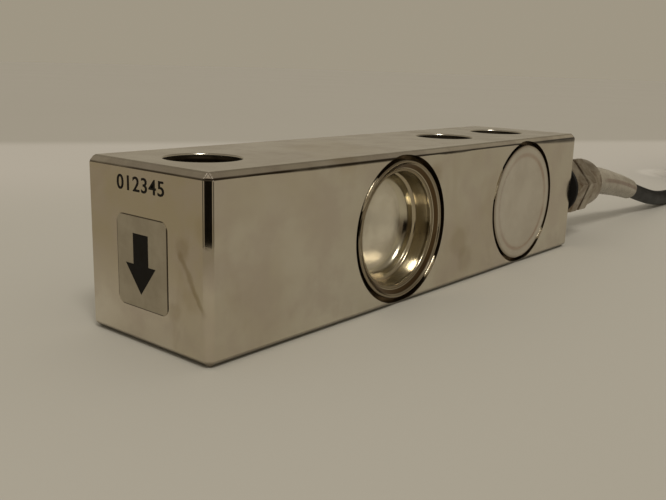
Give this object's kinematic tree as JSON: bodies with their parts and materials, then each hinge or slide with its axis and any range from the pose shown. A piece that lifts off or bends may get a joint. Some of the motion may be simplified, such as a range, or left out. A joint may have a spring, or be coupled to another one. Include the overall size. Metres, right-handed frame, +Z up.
{
  "type": "shear beam load cell",
  "caption": "Single ended shear beam load cell: machined steel beam with welded gauge cups, through holes for load and mounting, a side cable gland with bend relief and a coiled cable.",
  "frame": {"origin": "centre of the beam's underside, on the surface that it stands on", "axes": "+X along the beam towards the cable end, +Z up, and the side with the wiring cover and the gland faces -Y"},
  "size_m": [0.426, 0.0459, 0.0324],
  "materials": {
    "beam_steel": "bright nickel plated, softly reflecting, with light stains",
    "cup_steel": "bright drawn stainless steel",
    "cover_steel": "turned steel with a faint brown heat tint from welding",
    "gauge_foil": "amber foil",
    "solder_terminals": "copper pads",
    "fine_wires": "insulated fine wires",
    "circuit_board": "green lacquer",
    "resistor_body": "tan lacquer",
    "label_foil": "dull silver grey foil, softly glossy",
    "gland_metal": "nickel plated brass",
    "black_rubber": "matt black",
    "white_nylon": "natural nylon",
    "sleeve_rubber": "light warm grey, glossy",
    "cable_jacket": "black, softly glossy",
    "tie_plastic": "black nylon",
    "red_insulation": "red",
    "black_insulation": "black",
    "green_insulation": "green",
    "white_insulation": "white",
    "tinned_wire": "tinned copper"
  },
  "bodies": {
    "root": {"body": "beam_steel", "gauge_cup_near": "cup_steel", "gauge_cup_far": "cup_steel", "wiring_cover": "cover_steel", "strain_gauge_near": "gauge_foil", "strain_gauge_far": "gauge_foil", "gauge_terminals_near": "solder_terminals", "gauge_terminals_far": "solder_terminals", "lead_bundle_near": "fine_wires", "lead_bundle_far": "fine_wires", "terminal_board": "circuit_board", "span_resistor_a": "resistor_body", "span_resistor_b": "resistor_body", "zero_resistor": "resistor_body", "temperature_resistor": "resistor_body", "cable_wires": "fine_wires", "direction_label": "label_foil", "seal_washer": "black_rubber", "gland_body": "gland_metal", "gland_nut": "gland_metal", "gland_seal": "black_rubber", "clamp_ring": "white_nylon", "strain_sleeve": "sleeve_rubber", "cable_lead": "cable_jacket", "cable_hank": "cable_jacket", "hank_tie": "tie_plastic", "cable_tail": "cable_jacket", "jacket_boot": "black_rubber", "conductor_red": "red_insulation", "conductor_black": "black_insulation", "conductor_green": "green_insulation", "conductor_white": "white_insulation", "drain_wire": "tinned_wire"}
  },
  "joints": []
}
